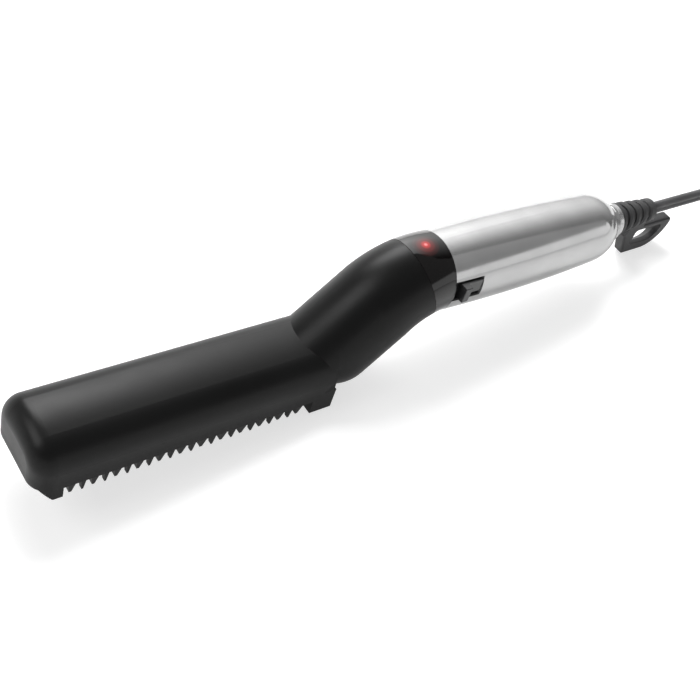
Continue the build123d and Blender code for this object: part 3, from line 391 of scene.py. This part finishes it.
# Swivel and strain relief. The relief is a ribbed rubber moulding with a hanging loop. A spring clip
# holds its shaft in the collar, and two contacts of spring steel bear on its turned brass pin.
spring_steel = worked_metal("spring_steel", (0.4, 0.4, 0.41), rough=0.3, line_size=0.0003, depth=0.15)
dress(spring_steel, "swivel_clip", "swivel_contacts")
turned_brass = worked_metal("turned_brass", (0.65, 0.45, 0.18), rough=0.25, line_size=0.0002, depth=0.15)
dress(turned_brass, "swivel_pin")
relief_rubber = moulded("relief_rubber", (0.045, 0.045, 0.046), rough=0.5)
dress(relief_rubber, "cord_relief")


# Mains cord. Flat twin flex, 1.67 m long, in a soft black jacket with a groove between its cores.
# It leaves the relief along the handle's axis and comes down to the table. What the photograph
# doesn't show is folded into a hank, and the plug lies on it.
tilt = radians(6.02253)
cord_exit = Vector((0.13151, 0.0006, 0.02258))
exit_way = Vector((cos(tilt), 0, -sin(tilt)))
straight_lead = 0.032
cord_width = 0.006
hank_half_run = 0.042
hank_layer = 0.0066
hank_layers = 3
hank_centre = Vector((0.2725, -0.0105, 0.00425))
outer_run = (0.0246, 0.0194)
inner_run = (0.018, 0.012)
hank_start = hank_centre + Vector((-hank_half_run - cord_width, outer_run[0], 0))
cord_route = [
    cord_exit,
    cord_exit + straight_lead * exit_way,
    Vector((0.1895, 0.005, 0.0108)),
    Vector((0.208, hank_start.y, hank_start.z)),
    hank_start,
]

# The hank: loops in two columns that spiral in and out in flat layers, drawn in at the waist. Each
# run has how far out it lies at its ends and at the waist, and the layers where it starts and ends.
hank_runs = [(outer_run, 0, 0)]
for layer in range(hank_layers):
    first, last = (inner_run, outer_run) if layer % 2 else (outer_run, inner_run)
    hank_runs += [(first, layer, layer), (last, layer, layer), (last, layer, layer + 1)]
run_reaches = [run[0][0] for run in hank_runs] + [inner_run[0]]
end_share = 0.75
waist_share = 0.25
fold_points = 6
way = 1
side = 1
for i, ((reach, waist), low, high) in enumerate(hank_runs):
    run_points = (
        (-end_share, reach, low),
        (-waist_share, waist, low),
        (waist_share, waist, low),
        (end_share, reach, high),
    )
    for share, out, level in run_points:
        ahead = share * way * hank_half_run
        cord_route.append(hank_centre + Vector((ahead, side * out, level * hank_layer)))
    fold_r = (reach + run_reaches[i + 1]) / 2
    fold_y = side * (reach - run_reaches[i + 1]) / 2
    swell = fold_r / cos(pi / 2 / fold_points)
    for k in range(fold_points):
        turn = pi * (k + 0.5) / fold_points
        ahead = way * (hank_half_run + swell * sin(turn))
        out = fold_y + side * swell * cos(turn)
        cord_route.append(hank_centre + Vector((ahead, out, high * hank_layer)))
    way = -way
    side = -side

# The last stretch runs along the top of the hank and crosses over to the plug
cord_route += [
    Vector((0.2365, 0.0075, 0.02405)),
    Vector((0.2467, 0.0075, 0.02405)),
    Vector((0.25639, 0.00464, 0.02483)),
    Vector((0.26761, -0.00264, 0.02682)),
    Vector((0.2773, -0.0055, 0.0276)),
    Vector((0.2875, -0.0055, 0.0276)),
]
route_curve = bpy.data.curves.new("cord_route", "CURVE")
route_curve.dimensions = "3D"
route_curve.resolution_u = 8
route = route_curve.splines.new("NURBS")
route.points.add(len(cord_route) - 1)
for place, point in zip(route.points, cord_route):
    place.co = (*point, 1)
route.order_u = 3
route.use_endpoint_u = True
route_object = bpy.data.objects.new("cord_route", route_curve)
scene.collection.objects.link(route_object)
bpy.context.view_layer.update()
route_mesh = bpy.data.meshes.new_from_object(route_object)
cord_path = [v.co.copy() for v in route_mesh.vertices]
bpy.data.objects.remove(route_object)

# Section of the flex: two round cores side by side, each drawn round from the groove's narrow floor
core_r = 0.0017
core_reach = cord_width / 2 - core_r
core_steps = 14
groove_half_floor = core_reach / 20
core_arc = 2 * (pi - acos((core_reach - groove_half_floor) / core_r))
section = []
for side in (1, -1):
    for k in range(core_steps):
        turn = core_arc * (k / (core_steps - 1) - 0.5)
        section.append((side * (core_reach + core_r * cos(turn)), side * core_r * sin(turn)))
cord_vertices = []
for i, point in enumerate(cord_path):
    ahead = cord_path[min(i + 1, len(cord_path) - 1)] - cord_path[max(i - 1, 0)]
    ahead.normalize()
    across = Vector((0, 0, 1)) - ahead * ahead.z
    across.normalize()
    beside = ahead.cross(across)
    for wide, thin in section:
        cord_vertices.append(point + across * wide + beside * thin)
ring = len(section)
last_ring = (len(cord_path) - 1) * ring
cord_faces = []
for start in range(0, last_ring, ring):
    for k in range(ring):
        n = (k + 1) % ring
        cord_faces.append((start + k, start + n, start + ring + n, start + ring + k))
cord_faces.append(tuple(range(ring - 1, -1, -1)))
cord_faces.append(tuple(range(last_ring, last_ring + ring)))
cord_mesh = bpy.data.meshes.new("mains_cord")
cord_mesh.from_pydata(cord_vertices, [], cord_faces)
cord_mesh.shade_smooth()
cord = bpy.data.objects.new("mains_cord", cord_mesh)
scene.collection.objects.link(cord)
cord_jacket = moulded("cord_jacket", (0.07, 0.07, 0.072), rough=0.5)
cord_mesh.materials.append(cord_jacket)
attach(cord, "brush")
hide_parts("cord", "cord_hank", "plug_lead")


# Tie. A woven hook-and-loop strap of black nylon, laid round the waist of the hank and closed on
# itself. Its warp and weft cross at right angles.
thread_pitch = 0.0008
thread_height = thread_pitch / 4
woven_strap = moulded("woven_strap", (0.03, 0.03, 0.032), rough=0.8, specular=0.2)
strap_tree = woven_strap.node_tree
strap_shader = strap_tree.nodes["Principled BSDF"]
strap_place = strap_tree.nodes.new("ShaderNodeTexCoord")

# At a scale of one, a wave repeats after this length
wave_period = 0.314
threads = []
for run in ("X", "Y"):
    thread = strap_tree.nodes.new("ShaderNodeTexWave")
    thread.bands_direction = run
    thread.inputs["Scale"].default_value = wave_period / thread_pitch
    strap_tree.links.new(strap_place.outputs["Object"], thread.inputs["Vector"])
    threads.append(thread.outputs["Fac"])
weave = raised(strap_tree, combined(strap_tree, "MULTIPLY", *threads), depth=0.8, height=thread_height)
strap_tree.links.new(weave, strap_shader.inputs["Normal"])
dress(woven_strap, "cord_tie")


# Plug. A flat two-pin body moulded on the end of the cord from hard black nylon, with two brass pins
# in it that are nickel-plated and rounded at the tip.
plug_nylon = moulded("plug_nylon", (0.03, 0.03, 0.031), rough=0.45)
dress(plug_nylon, "plug_body")
nickel_plate = worked_metal(
    "nickel_plate", (0.66, 0.65, 0.62), rough=0.22, line_size=0.0003, depth=0.08, stretch=(0.1, 1, 1)
)
dress(nickel_plate, "plug_pins")
